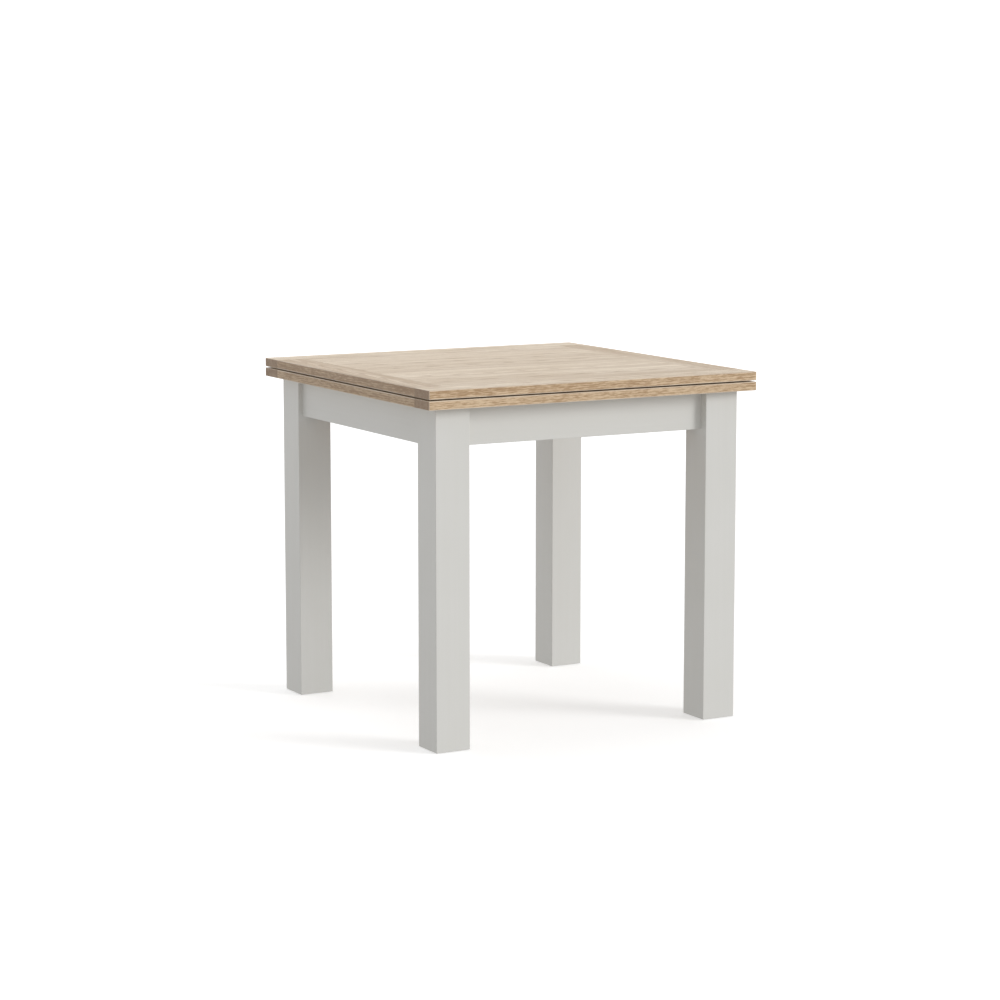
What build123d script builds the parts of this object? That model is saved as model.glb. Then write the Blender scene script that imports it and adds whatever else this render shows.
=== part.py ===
"""Square flip-top extending table, modelled at its real size in millimetres.

Two framed oak leaves lie one on the other and are hinged along the +X edge. The pair slides along -X by
half its length on two grooved rails inside a painted base. The upper leaf then turns over about the hinge
line and rests on the other half of the base, which doubles the table top.

Frame: +X runs along the grain of the top, +Z is up, and the origin is on the floor below the table's centre.
"""

from build123d import *

import math
import os
from collections import namedtuple

# ---------------------------------------------------------------- driving dimensions
# The table as a whole, closed
TABLE_HEIGHT = 765.0
LEAF_LENGTH = 800.0  # along X
LEAF_WIDTH = 800.0  # along Y
LEAF_THICKNESS = 19.0
LEAF_GAP = 3.0  # between the folded leaves
LEG_OVERHANG = 30.0  # from a leaf's edge to a leg's outer face

# Leaf frame
BORDER_WIDTH = 65.0
CORNER_ROUND = 2.0
ARRIS_ROUND = 1.2
TONGUE_THICKNESS = 6.0
TONGUE_LENGTH = 8.0
GROOVE_STOP = 12.0  # a groove ends this far from the board's end
GLUE_GAP = 0.1  # between glued pieces
JOINT_EASE = 0.4  # half the width of the fine V line where two boards meet

# Legs
LEG_SIDE = 80.0
LEG_EDGE_ROUND = 1.5
LEG_FLAT_DEPTH = 10.0  # how far the bolting flat cuts into a leg's inner corner
LEG_BOLT_DEPTH = 50.0

# Aprons
APRON_HEIGHT = 82.0
APRON_THICKNESS = 20.0
LONG_APRON_INSET = 20.0  # front and back aprons, behind the legs' outer faces
SIDE_APRON_INSET = 10.0  # left and right aprons, behind the legs' outer faces
APRON_EDGE_ROUND = 1.0

# Corner blocks and the bolts that hold the legs
BLOCK_THICKNESS = 26.0
BLOCK_HEIGHT = 70.0
BLOCK_LEG_GAP = 2.0
BLOCK_EDGE_ROUND = 1.5
BOLT_SPACING = 40.0
BOLT_RADIUS = 4.0
BOLT_PROTRUSION = 5.0  # past the nut
BOLT_CLEARANCE = 0.4
NUT_WIDTH = 13.0
NUT_HEIGHT = 6.5
WASHER_RADIUS = 10.0
WASHER_THICKNESS = 1.6

# Slide rails in the base and runners under the lower leaf
RAIL_THICKNESS = 25.0
RAIL_HEIGHT = 40.0
RAIL_BLOCK_GAP = 15.0
GROOVE_DEPTH = 10.0
GROOVE_HEIGHT = 11.0
GROOVE_BELOW_TOP = 15.0
RUNNER_WIDTH = 29.0
RUNNER_BELOW_GROOVE = 6.0
RUNNER_SIDE_CLEARANCE = 0.5
TONGUE_CLEARANCE = 0.4
RUNNER_END_CHAMFER = 2.0

# Strips and pads
STRIP_THICKNESS = 0.8
STRIP_WIDTH = 14.0
STRIP_END_GAP = 4.0
SLIDE_CLEARANCE = 0.2  # between the strips and the leaf that slides on them
STOP_RADIUS = 8.0
STOP_THICKNESS = 4.0
STOP_CLEARANCE = 0.3
PAD_RADIUS = 6.0
PAD_CLEARANCE = 0.2
PAD_INSET = 32.0

# Cross rail under the slide rails
CROSS_RAIL_THICKNESS = 20.0
CROSS_RAIL_RISE = 2.0  # above the aprons' lower edges

# Feet
FOOT_STAND = 1.5  # how far a glide lifts the leg off the floor
FOOT_RADIUS = 14.0
FOOT_THICKNESS = 4.0
FOOT_EDGE_ROUND = 1.0
FOOT_CLEARANCE = 0.3
NAIL_RADIUS = 1.25
NAIL_HEAD_RADIUS = 3.0
NAIL_HEAD_THICKNESS = 2.0
NAIL_LENGTH = 20.0

# Hinges on the +X edge
HINGE_LENGTH = 60.0
HINGE_COUNT = 3
HINGE_END_DISTANCE = 130.0  # from a leaf's end to the centre of its outer hinge
HINGE_EDGE_GAP = 0.3  # from a leaf's edge to the hinge axis
PLATE_THICKNESS = 1.6
PLATE_HEIGHT = 14.0
PLATE_CORNER_ROUND = 2.0
BARREL_RADIUS = 2.5
PIN_RADIUS = 1.25
PIN_CLEARANCE = 0.05
KNUCKLE_COUNT = 5
KNUCKLE_GAP = 0.2
POCKET_CLEARANCE = 0.3
HINGE_SCREW_SPACING = 20.0

# Dowels and screws
DOWEL_RADIUS = 4.0
DOWEL_LENGTH = 30.0
DOWEL_IN_APRON = 12.0
DOWEL_CHAMFER = 0.8
DOWEL_SPACING_RAIL = 22.0
DOWEL_SPACING_CROSS_RAIL = 16.0
FASTENER_CLEARANCE = 0.05
BLOCK_SCREW_SPACING = 44.0
BLOCK_SCREW_SEAT = 3.0  # how far a screw's head sits inside the corner block
RAIL_SCREW_GRIP = 18.0  # wood between a cross-rail screw's head and the slide rail
RUNNER_SCREW_GRIP = 19.0  # wood between a runner screw's head and the leaf
RUNNER_SCREW_END = 30.0
HEAD_CLEARANCE = 0.3

# Radii, lengths, and the width, span and depth of the cross recess in the head
Screw = namedtuple("Screw", "shank head point length tip slot span depth")
HINGE_SCREW = Screw(shank=1.4, head=2.7, point=0.4, length=16.0, tip=3.0, slot=0.7, span=3.2, depth=1.1)
WOOD_SCREW = Screw(shank=2.0, head=4.0, point=0.5, length=31.0, tip=4.0, slot=1.0, span=4.8, depth=1.6)

CUT_PAST = 1.0  # how far a cut runs past the face it opens
NEAR = 1e-3  # two places closer than this are the same

# ---------------------------------------------------------------- places worked out from them
HALF_LENGTH = LEAF_LENGTH / 2
HALF_WIDTH = LEAF_WIDTH / 2
LOWER_LEAF_Z = TABLE_HEIGHT - 2 * LEAF_THICKNESS - LEAF_GAP
UPPER_LEAF_Z = TABLE_HEIGHT - LEAF_THICKNESS
PANEL_HALF_LENGTH = HALF_LENGTH - BORDER_WIDTH
PANEL_HALF_WIDTH = HALF_WIDTH - BORDER_WIDTH

STRIP_TOP = LOWER_LEAF_Z - SLIDE_CLEARANCE
BASE_TOP = STRIP_TOP - STRIP_THICKNESS
APRON_BOTTOM = BASE_TOP - APRON_HEIGHT
LEG_OUT_X = HALF_LENGTH - LEG_OVERHANG
LEG_OUT_Y = HALF_WIDTH - LEG_OVERHANG
LEG_IN_X = LEG_OUT_X - LEG_SIDE
LEG_IN_Y = LEG_OUT_Y - LEG_SIDE
LONG_APRON_OUT = LEG_OUT_Y - LONG_APRON_INSET
LONG_APRON_IN = LONG_APRON_OUT - APRON_THICKNESS
SIDE_APRON_OUT = LEG_OUT_X - SIDE_APRON_INSET
SIDE_APRON_IN = SIDE_APRON_OUT - APRON_THICKNESS

# Along a corner's diagonal, distances are from the table's centre line
ROOT2 = math.sqrt(2)
LEG_CORNER_D = (LEG_IN_X + LEG_IN_Y) / ROOT2
LEG_FLAT_D = LEG_CORNER_D + LEG_FLAT_DEPTH
BLOCK_OUT_D = LEG_CORNER_D - BLOCK_LEG_GAP
BLOCK_IN_D = BLOCK_OUT_D - BLOCK_THICKNESS
BLOCK_MID_Z = BASE_TOP - APRON_HEIGHT / 2
BOLT_ZS = [BLOCK_MID_Z - BOLT_SPACING / 2, BLOCK_MID_Z + BOLT_SPACING / 2]
BLOCK_SCREW_ZS = [BLOCK_MID_Z - BLOCK_SCREW_SPACING / 2, BLOCK_MID_Z + BLOCK_SCREW_SPACING / 2]
BOLT_SHIFT = (LEG_IN_X - LEG_IN_Y) / 2  # so that the bolts point straight at the leg's inner corner

RAIL_OUT = BLOCK_IN_D * ROOT2 - SIDE_APRON_IN - RAIL_BLOCK_GAP
RAIL_IN = RAIL_OUT - RAIL_THICKNESS
RAIL_BOTTOM = BASE_TOP - RAIL_HEIGHT
RAIL_WEB_Y = (RAIL_IN + GROOVE_DEPTH + RAIL_OUT) / 2
GROOVE_TOP = BASE_TOP - GROOVE_BELOW_TOP
GROOVE_BOTTOM = GROOVE_TOP - GROOVE_HEIGHT
CROSS_RAIL_BOTTOM = APRON_BOTTOM + CROSS_RAIL_RISE

HINGE_X = HALF_LENGTH + HINGE_EDGE_GAP
HINGE_Z = UPPER_LEAF_Z - LEAF_GAP / 2
HINGE_SPREAD = (LEAF_WIDTH - 2 * HINGE_END_DISTANCE) / (HINGE_COUNT - 1)
HINGE_YS = [HINGE_END_DISTANCE - HALF_WIDTH + n * HINGE_SPREAD for n in range(HINGE_COUNT)]
HINGE_NAMES = ["front", "middle", "back"]

SLIDE_TRAVEL = HINGE_X  # brings the hinge line over the table's centre
RUNNER_OUT = RAIL_IN - RUNNER_SIDE_CLEARANCE
RUNNER_IN = RUNNER_OUT - RUNNER_WIDTH
RUNNER_BOTTOM = GROOVE_BOTTOM - RUNNER_BELOW_GROOVE
RUNNER_END_X = SIDE_APRON_IN - STOP_THICKNESS - STOP_CLEARANCE
RUNNER_START_X = SLIDE_TRAVEL - RUNNER_END_X
RUNNER_MID_Y = (RUNNER_OUT + RUNNER_IN) / 2
STOP_Z = (RUNNER_BOTTOM + BASE_TOP) / 2

CORNERS = {
    "front_left": (-1, -1),
    "front_right": (1, -1),
    "back_left": (-1, 1),
    "back_right": (1, 1),
}


# ---------------------------------------------------------------- shared shapes
def block(x, y, z):
    """A rectangular solid spanning three (from, to) pairs, each in either order."""
    spans = [sorted(pair) for pair in (x, y, z)]
    centre = [(low + high) / 2 for low, high in spans]
    return Pos(*centre) * Box(*[high - low for low, high in spans])


def placed(solid, origin, direction):
    """A solid drawn along +Z from the origin, moved to start at origin and run along direction."""
    return Plane(origin=origin, z_dir=direction).location * solid


def rod(origin, direction, radius, length):
    """A cylinder that starts at origin and runs along direction."""
    return placed(Pos(0, 0, length / 2) * Cylinder(radius, length), origin, direction)


def turned(points):
    """A solid of revolution about Z from (radius, height) points."""
    outline = make_face(Plane.XZ * Polyline(*points, close=True))
    return revolve(outline, Axis.Z)


def screw_solid(kind):
    """A countersunk screw that starts at its head's flat top and runs along +Z, with a cross recess."""
    body = turned(
        [
            (0, 0),
            (kind.head, 0),
            (kind.shank, kind.head - kind.shank),
            (kind.shank, kind.length - kind.tip),
            (kind.point, kind.length),
            (0, kind.length),
        ]
    )
    for angle in (0, 90):
        body -= Rot(0, 0, angle) * Box(kind.span, kind.slot, 2 * kind.depth)
    return body


def screw_hole(kind, entry=0.0):
    """The hole for a screw: its outline grown by the fastener clearance, open for entry before the head."""
    shank = kind.shank + FASTENER_CLEARANCE
    head = kind.head + FASTENER_CLEARANCE
    hole = turned(
        [
            (0, 0),
            (head, 0),
            (shank, head - shank),
            (shank, kind.length - kind.tip),
            (kind.point + FASTENER_CLEARANCE, kind.length + FASTENER_CLEARANCE),
            (0, kind.length + FASTENER_CLEARANCE),
        ]
    )
    if entry:
        hole += Pos(0, 0, -entry / 2) * Cylinder(kind.head + HEAD_CLEARANCE, entry)
    return hole


def screws(kind, places):
    """One screw for each (origin, direction) pair."""
    return [placed(screw_solid(kind), *place) for place in places]


def drilled(solid, kind, places, entry=0.0):
    """The solid with a hole for each screw that reaches it."""
    for origin, direction in places:
        solid -= placed(screw_hole(kind, entry), origin, direction)
    return solid


def dowel(origin, direction):
    """A round dowel with chamfered ends that starts at origin."""
    inner = DOWEL_RADIUS - DOWEL_CHAMFER
    points = [
        (0, 0),
        (inner, 0),
        (DOWEL_RADIUS, DOWEL_CHAMFER),
        (DOWEL_RADIUS, DOWEL_LENGTH - DOWEL_CHAMFER),
        (inner, DOWEL_LENGTH),
        (0, DOWEL_LENGTH),
    ]
    return placed(turned(points), origin, direction)


def bored(solid, places, radius, length):
    """The solid with a plain hole of that radius and length at each (origin, direction) pair."""
    for origin, direction in places:
        solid -= rod(origin, direction, radius, length)
    return solid


def dowelled(solid, places):
    """The solid with a hole for each dowel."""
    grown = DOWEL_RADIUS + FASTENER_CLEARANCE
    return bored(solid, places, grown, DOWEL_LENGTH)


def save(name, *solids):
    """Writes a node as one STEP file, as a group where it holds several solids."""
    shape = solids[0] if len(solids) == 1 else Compound(children=list(solids))
    export_step(shape, f"parts/{name}.step")


# ---------------------------------------------------------------- where the fasteners go
def corner_point(signs, distance, height):
    """A point on a corner's diagonal bolt line, that far from the centre line along the diagonal."""
    sx, sy = signs
    reach = distance / ROOT2
    return (sx * (reach + BOLT_SHIFT), sy * (reach - BOLT_SHIFT), height)


def corner_direction(signs):
    """The direction from the table's centre line out to a corner."""
    return (signs[0] / ROOT2, signs[1] / ROOT2, 0)


def long_block_screws(signs):
    """Screws from a corner block into the front or back apron."""
    sx, sy = signs
    x = (BLOCK_IN_D + BLOCK_OUT_D) / 2 * ROOT2 - LONG_APRON_IN
    y = BLOCK_IN_D * ROOT2 - x + BLOCK_SCREW_SEAT
    return [((sx * x, sy * y, z), (0, sy, 0)) for z in BLOCK_SCREW_ZS]


def side_block_screws(signs):
    """Screws from a corner block into the left or right apron."""
    sx, sy = signs
    y = (BLOCK_IN_D + BLOCK_OUT_D) / 2 * ROOT2 - SIDE_APRON_IN
    x = BLOCK_IN_D * ROOT2 - y + BLOCK_SCREW_SEAT
    return [((sx * x, sy * y, z), (sx, 0, 0)) for z in BLOCK_SCREW_ZS]


def rail_dowels(sx, sy):
    """Dowels from one end of a slide rail into a side apron."""
    middle = BASE_TOP - RAIL_HEIGHT / 2
    start = SIDE_APRON_IN + DOWEL_IN_APRON - DOWEL_LENGTH
    heights = (middle - DOWEL_SPACING_RAIL / 2, middle + DOWEL_SPACING_RAIL / 2)
    return [((sx * start, sy * RAIL_WEB_Y, z), (sx, 0, 0)) for z in heights]


def cross_rail_dowels(sy):
    """Dowels from one end of the cross rail into the front or back apron."""
    middle = (CROSS_RAIL_BOTTOM + RAIL_BOTTOM) / 2
    start = LONG_APRON_IN + DOWEL_IN_APRON - DOWEL_LENGTH
    heights = (middle - DOWEL_SPACING_CROSS_RAIL / 2, middle + DOWEL_SPACING_CROSS_RAIL / 2)
    return [((0, sy * start, z), (0, sy, 0)) for z in heights]


def cross_rail_screw(sy):
    """The screw that holds a slide rail down on the cross rail, driven from below."""
    return [((0, sy * RAIL_WEB_Y, RAIL_BOTTOM - RAIL_SCREW_GRIP), (0, 0, 1))]


def runner_screws(sy):
    """Screws that hold a runner to the lower leaf, driven from below."""
    middle = (RUNNER_START_X + RUNNER_END_X) / 2
    xs = (RUNNER_START_X + RUNNER_SCREW_END, middle, RUNNER_END_X - RUNNER_SCREW_END)
    z = LOWER_LEAF_Z - RUNNER_SCREW_GRIP
    return [((x, sy * RUNNER_MID_Y, z), (0, 0, 1)) for x in xs]


def hinge_screws(side):
    """Screws through the hinge plates of one leaf: side is -1 for the lower leaf and 1 for the upper."""
    z = HINGE_Z + side * (LEAF_GAP / 2 + PLATE_HEIGHT / 2)
    offsets = (-HINGE_SCREW_SPACING, 0, HINGE_SCREW_SPACING)
    return [((HALF_LENGTH, y + dy, z), (-1, 0, 0)) for y in HINGE_YS for dy in offsets]


# ---------------------------------------------------------------- the painted base
def leg(signs):
    """A square leg with eased edges, a flat for the bolts, and a seat for its floor glide."""
    sx, sy = signs
    post = block((sx * LEG_IN_X, sx * LEG_OUT_X), (sy * LEG_IN_Y, sy * LEG_OUT_Y), (FOOT_STAND, BASE_TOP))
    post = fillet(post.edges().filter_by(Axis.Z), LEG_EDGE_ROUND)
    post = fillet(post.edges().group_by(Axis.Z)[0], LEG_EDGE_ROUND / 2)
    cutter = Pos(0, 0, BLOCK_HEIGHT / 2) * Box(LEG_SIDE, LEG_SIDE, BLOCK_HEIGHT)
    flat_plane = Plane(
        origin=corner_point(signs, LEG_FLAT_D - LEG_SIDE / 2, BLOCK_MID_Z - BLOCK_HEIGHT / 2),
        x_dir=corner_direction(signs),
        z_dir=(0, 0, 1),
    )
    post -= flat_plane.location * cutter
    bolts = [(corner_point(signs, LEG_FLAT_D, z), corner_direction(signs)) for z in BOLT_ZS]
    post = bored(post, bolts, BOLT_RADIUS + FASTENER_CLEARANCE, LEG_BOLT_DEPTH)
    foot = foot_centre(signs)
    seat = [((*foot, 0), (0, 0, 1))]
    post = bored(post, seat, FOOT_RADIUS + FOOT_CLEARANCE, FOOT_THICKNESS)
    return bored(post, seat, NAIL_RADIUS + FASTENER_CLEARANCE, FOOT_THICKNESS + NAIL_LENGTH)


def foot_centre(signs):
    """The middle of a leg's underside."""
    return (signs[0] * (LEG_OUT_X - LEG_SIDE / 2), signs[1] * (LEG_OUT_Y - LEG_SIDE / 2))


def foot_glide(signs):
    """A round nylon glide let into the leg's underside, with a blind hole for its nail's head."""
    disc = Pos(0, 0, FOOT_THICKNESS / 2) * Cylinder(FOOT_RADIUS, FOOT_THICKNESS)
    disc = fillet(disc.edges().group_by(Axis.Z)[0], FOOT_EDGE_ROUND)
    head = rod((0, 0, FOOT_THICKNESS - NAIL_HEAD_THICKNESS), (0, 0, 1), NAIL_HEAD_RADIUS, FOOT_THICKNESS)
    return Pos(*foot_centre(signs), 0) * (disc - head)


def foot_nail(signs):
    """The nail that holds a glide."""
    bottom = FOOT_THICKNESS - NAIL_HEAD_THICKNESS
    nail = rod((0, 0, bottom), (0, 0, 1), NAIL_HEAD_RADIUS - FASTENER_CLEARANCE, NAIL_HEAD_THICKNESS)
    nail += rod((0, 0, bottom), (0, 0, 1), NAIL_RADIUS, NAIL_HEAD_THICKNESS + NAIL_LENGTH)
    return Pos(*foot_centre(signs), 0) * nail


def eased_board(x, y, z, axis):
    """An apron or rail with its four long edges eased; axis is the one it runs along."""
    board = block(x, y, z)
    return fillet(board.edges().filter_by(axis), APRON_EDGE_ROUND)


def long_apron(sy):
    """The front or back apron, with holes for the corner-block screws and the cross rail's dowels."""
    board = eased_board(
        (-LEG_IN_X, LEG_IN_X), (sy * LONG_APRON_IN, sy * LONG_APRON_OUT), (APRON_BOTTOM, BASE_TOP), Axis.X
    )
    for sx in (-1, 1):
        board = drilled(board, WOOD_SCREW, long_block_screws((sx, sy)))
    return dowelled(board, cross_rail_dowels(sy))


def side_apron(sx):
    """The left or right apron, with holes for the corner-block screws and the slide rails' dowels."""
    board = eased_board(
        (sx * SIDE_APRON_IN, sx * SIDE_APRON_OUT), (-LEG_IN_Y, LEG_IN_Y), (APRON_BOTTOM, BASE_TOP), Axis.Y
    )
    for sy in (-1, 1):
        board = drilled(board, WOOD_SCREW, side_block_screws((sx, sy)))
        board = dowelled(board, rail_dowels(sx, sy))
    return board


def corner_block(signs):
    """A brace across a corner, mitred to both aprons, drilled for the leg bolts and its own screws."""
    sx, sy = signs
    outer, inner = BLOCK_OUT_D * ROOT2, BLOCK_IN_D * ROOT2
    outline = [
        (sx * (outer - LONG_APRON_IN), sy * LONG_APRON_IN),
        (sx * (inner - LONG_APRON_IN), sy * LONG_APRON_IN),
        (sx * SIDE_APRON_IN, sy * (inner - SIDE_APRON_IN)),
        (sx * SIDE_APRON_IN, sy * (outer - SIDE_APRON_IN)),
    ]
    base = Plane.XY.offset(BLOCK_MID_Z - BLOCK_HEIGHT / 2)
    brace = extrude(make_face(base * Polyline(*outline, close=True)), amount=BLOCK_HEIGHT, dir=(0, 0, 1))
    inner_edges = [
        edge
        for edge in brace.edges().filter_by(Axis.Z, reverse=True)
        if abs(abs(edge.center().X) + abs(edge.center().Y) - inner) < NEAR
    ]
    brace = fillet(inner_edges, BLOCK_EDGE_ROUND)
    bolts = [(corner_point(signs, BLOCK_IN_D - CUT_PAST, z), corner_direction(signs)) for z in BOLT_ZS]
    brace = bored(brace, bolts, BOLT_RADIUS + BOLT_CLEARANCE, BLOCK_THICKNESS + 2 * CUT_PAST)
    places = long_block_screws(signs) + side_block_screws(signs)
    return drilled(brace, WOOD_SCREW, places, entry=BLOCK_THICKNESS)


def hanger_bolt(signs, height):
    """A leg bolt: wood thread end in the leg, plain end through the corner block, washer and nut."""
    start = BLOCK_IN_D - WASHER_THICKNESS - NUT_HEIGHT - BOLT_PROTRUSION
    length = LEG_FLAT_D + LEG_BOLT_DEPTH - start
    inner = BOLT_RADIUS - DOWEL_CHAMFER
    points = [
        (0, 0),
        (inner, 0),
        (BOLT_RADIUS, DOWEL_CHAMFER),
        (BOLT_RADIUS, length - BOLT_RADIUS),
        (inner / 2, length),
        (0, length),
    ]
    return placed(turned(points), corner_point(signs, start, height), corner_direction(signs))


def washer(signs, height):
    """A flat washer on the corner block's inner face."""
    bore = BOLT_RADIUS + BOLT_CLEARANCE
    ring = Cylinder(WASHER_RADIUS, WASHER_THICKNESS) - Cylinder(bore, WASHER_THICKNESS)
    middle = corner_point(signs, BLOCK_IN_D - WASHER_THICKNESS / 2, height)
    return placed(ring, middle, corner_direction(signs))


def nut(signs, height):
    """A hexagon nut with its outer corners turned off."""
    prism = extrude(RegularPolygon(NUT_WIDTH / 2, 6, major_radius=False), amount=NUT_HEIGHT)
    corner = NUT_WIDTH / math.sqrt(3)
    shoulder = corner - NUT_WIDTH / 2
    turned_off = turned(
        [(0, 0), (corner - shoulder, 0), (corner, shoulder / 2), (corner, NUT_HEIGHT), (0, NUT_HEIGHT)]
    )
    hexagon = (prism & turned_off) - Pos(0, 0, NUT_HEIGHT / 2) * Cylinder(
        BOLT_RADIUS + FASTENER_CLEARANCE, NUT_HEIGHT
    )
    start = corner_point(signs, BLOCK_IN_D - WASHER_THICKNESS - NUT_HEIGHT, height)
    return placed(hexagon, start, corner_direction(signs))


def slide_rail(sy):
    """A rail between the side aprons with the groove that guides and holds down a runner."""
    rail = eased_board(
        (-SIDE_APRON_IN, SIDE_APRON_IN), (sy * RAIL_IN, sy * RAIL_OUT), (RAIL_BOTTOM, BASE_TOP), Axis.X
    )
    rail -= block(
        (-SIDE_APRON_IN, SIDE_APRON_IN),
        (sy * (RAIL_IN - GROOVE_DEPTH), sy * (RAIL_IN + GROOVE_DEPTH)),
        (GROOVE_BOTTOM, GROOVE_TOP),
    )
    for sx in (-1, 1):
        rail = dowelled(rail, rail_dowels(sx, sy))
    return drilled(rail, WOOD_SCREW, cross_rail_screw(sy))


def cross_rail():
    """The rail across the middle of the base that carries both slide rails."""
    half = CROSS_RAIL_THICKNESS / 2
    rail = eased_board(
        (-half, half), (-LONG_APRON_IN, LONG_APRON_IN), (CROSS_RAIL_BOTTOM, RAIL_BOTTOM), Axis.Y
    )
    for sy in (-1, 1):
        rail = dowelled(rail, cross_rail_dowels(sy))
        rail = drilled(rail, WOOD_SCREW, cross_rail_screw(sy), entry=RAIL_HEIGHT)
    return rail


def strip(x, y):
    """A felt strip on top of an apron, which the leaves slide and rest on."""
    return block(x, y, (BASE_TOP, STRIP_TOP))


def stop_pad(sx, sy):
    """A rubber pad on a side apron that a runner's end meets at the end of its travel."""
    return rod((sx * SIDE_APRON_IN, sy * RUNNER_MID_Y, STOP_Z), (-sx, 0, 0), STOP_RADIUS, STOP_THICKNESS)


def build_base():
    """Every piece of the base, which stands still."""
    for name, signs in CORNERS.items():
        save(f"leg_{name}", leg(signs))
        save(f"foot_glide_{name}", foot_glide(signs))
        save(f"corner_block_{name}", corner_block(signs))
    for name, side in (("front", -1), ("back", 1)):
        save(f"apron_{name}", long_apron(side))
        save(f"slide_rail_{name}", slide_rail(side))
        middle = side * (LONG_APRON_OUT + LONG_APRON_IN) / 2
        reach = LEG_IN_X - STRIP_END_GAP
        edges = (middle - STRIP_WIDTH / 2, middle + STRIP_WIDTH / 2)
        save(f"glide_strip_{name}", strip((-reach, reach), edges))
    for name, side in (("left", -1), ("right", 1)):
        save(f"apron_{name}", side_apron(side))
        middle = side * (SIDE_APRON_OUT + SIDE_APRON_IN) / 2
        reach = LEG_IN_Y - STRIP_END_GAP
        edges = (middle - STRIP_WIDTH / 2, middle + STRIP_WIDTH / 2)
        save(f"glide_strip_{name}", strip(edges, (-reach, reach)))
    save("cross_rail", cross_rail())
    all_signs = list(CORNERS.values())
    save("foot_nails", *[foot_nail(signs) for signs in all_signs])
    save("leg_bolts", *[hanger_bolt(signs, z) for signs in all_signs for z in BOLT_ZS])
    save("leg_bolt_washers", *[washer(signs, z) for signs in all_signs for z in BOLT_ZS])
    save("leg_bolt_nuts", *[nut(signs, z) for signs in all_signs for z in BOLT_ZS])
    block_places = [p for signs in all_signs for p in long_block_screws(signs) + side_block_screws(signs)]
    save("corner_block_screws", *screws(WOOD_SCREW, block_places))
    save("rail_dowels", *[dowel(*place) for signs in all_signs for place in rail_dowels(*signs)])
    save("cross_rail_dowels", *[dowel(*place) for sy in (-1, 1) for place in cross_rail_dowels(sy)])
    save("cross_rail_screws", *screws(WOOD_SCREW, cross_rail_screw(-1) + cross_rail_screw(1)))
    save("slide_stops", *[stop_pad(*signs) for signs in all_signs])


# ---------------------------------------------------------------- the leaves
def eased_slab(bottom):
    """A whole leaf's outline, its corners and arrises eased and a fine V line on each face at each joint."""
    top = bottom + LEAF_THICKNESS
    slab = block((-HALF_LENGTH, HALF_LENGTH), (-HALF_WIDTH, HALF_WIDTH), (bottom, top))
    slab = fillet(slab.edges().filter_by(Axis.Z), CORNER_ROUND)
    levels = slab.edges().group_by(Axis.Z)
    slab = fillet(levels[0] + levels[-1], ARRIS_ROUND)
    side = ROOT2 * JOINT_EASE
    along_x = Rot(45, 0, 0) * Box(LEAF_LENGTH, side, side)
    along_y = Rot(0, 45, 0) * Box(side, 2 * PANEL_HALF_WIDTH, side)
    for z in (bottom, top):
        for sign in (-1, 1):
            slab -= Pos(0, sign * PANEL_HALF_WIDTH, z) * along_x
            slab -= Pos(sign * PANEL_HALF_LENGTH, 0, z) * along_y
    return slab


def tongue_span(bottom, grown=0.0):
    """The heights between which a leaf's tongues lie."""
    middle = bottom + LEAF_THICKNESS / 2
    half = TONGUE_THICKNESS / 2 + grown
    return (middle - half, middle + half)


def panel(slab, bottom):
    """The centre panel of a leaf, with a tongue on each side."""
    heights = (bottom, bottom + LEAF_THICKNESS)
    x, y = PANEL_HALF_LENGTH, PANEL_HALF_WIDTH
    board = slab & block((-x, x), (-y, y), heights)
    board += block((-x - TONGUE_LENGTH, x + TONGUE_LENGTH), (-y, y), tongue_span(bottom))
    return board + block((-x, x), (-y - TONGUE_LENGTH, y + TONGUE_LENGTH), tongue_span(bottom))


def long_border(slab, bottom, sy):
    """The front or back border of a leaf: full length, grooved for the panel and the end borders."""
    heights = (bottom, bottom + LEAF_THICKNESS)
    board = slab & block(
        (-HALF_LENGTH, HALF_LENGTH), (sy * PANEL_HALF_WIDTH, sy * HALF_WIDTH), heights
    )
    reach = HALF_LENGTH - GROOVE_STOP
    depth = PANEL_HALF_WIDTH + TONGUE_LENGTH + GLUE_GAP
    return board - block(
        (-reach, reach), (sy * (PANEL_HALF_WIDTH - TONGUE_LENGTH), sy * depth), tongue_span(bottom, GLUE_GAP)
    )


def end_border(slab, bottom, sx):
    """The left or right border of a leaf: between the long borders, with a tongue at each end."""
    heights = (bottom, bottom + LEAF_THICKNESS)
    y = PANEL_HALF_WIDTH
    board = slab & block((sx * PANEL_HALF_LENGTH, sx * HALF_LENGTH), (-y, y), heights)
    depth = PANEL_HALF_LENGTH + TONGUE_LENGTH + GLUE_GAP
    board -= block(
        (sx * (PANEL_HALF_LENGTH - TONGUE_LENGTH), sx * depth), (-y, y), tongue_span(bottom, GLUE_GAP)
    )
    start = depth + GLUE_GAP
    reach = HALF_LENGTH - GROOVE_STOP - GLUE_GAP
    return board + block(
        (sx * start, sx * reach), (-y - TONGUE_LENGTH, y + TONGUE_LENGTH), tongue_span(bottom)
    )


def hinge_pocket(y, side):
    """The recess for one plate and for the barrel, in the edge of the lower (-1) or upper (1) leaf."""
    half = HINGE_LENGTH / 2 + POCKET_CLEARANCE
    face = HINGE_Z + side * LEAF_GAP / 2
    pocket = block(
        (HALF_LENGTH - PLATE_THICKNESS, HINGE_X + BARREL_RADIUS),
        (y - half, y + half),
        (HINGE_Z, face + side * (PLATE_HEIGHT + POCKET_CLEARANCE)),
    )
    return pocket + rod((HINGE_X, y - half, HINGE_Z), (0, 1, 0), BARREL_RADIUS + POCKET_CLEARANCE, 2 * half)


def hinged_border(slab, bottom, side):
    """The right border of a leaf, which carries the hinges of that side."""
    board = end_border(slab, bottom, 1)
    for y in HINGE_YS:
        board -= hinge_pocket(y, side)
    return drilled(board, HINGE_SCREW, hinge_screws(side))


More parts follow.
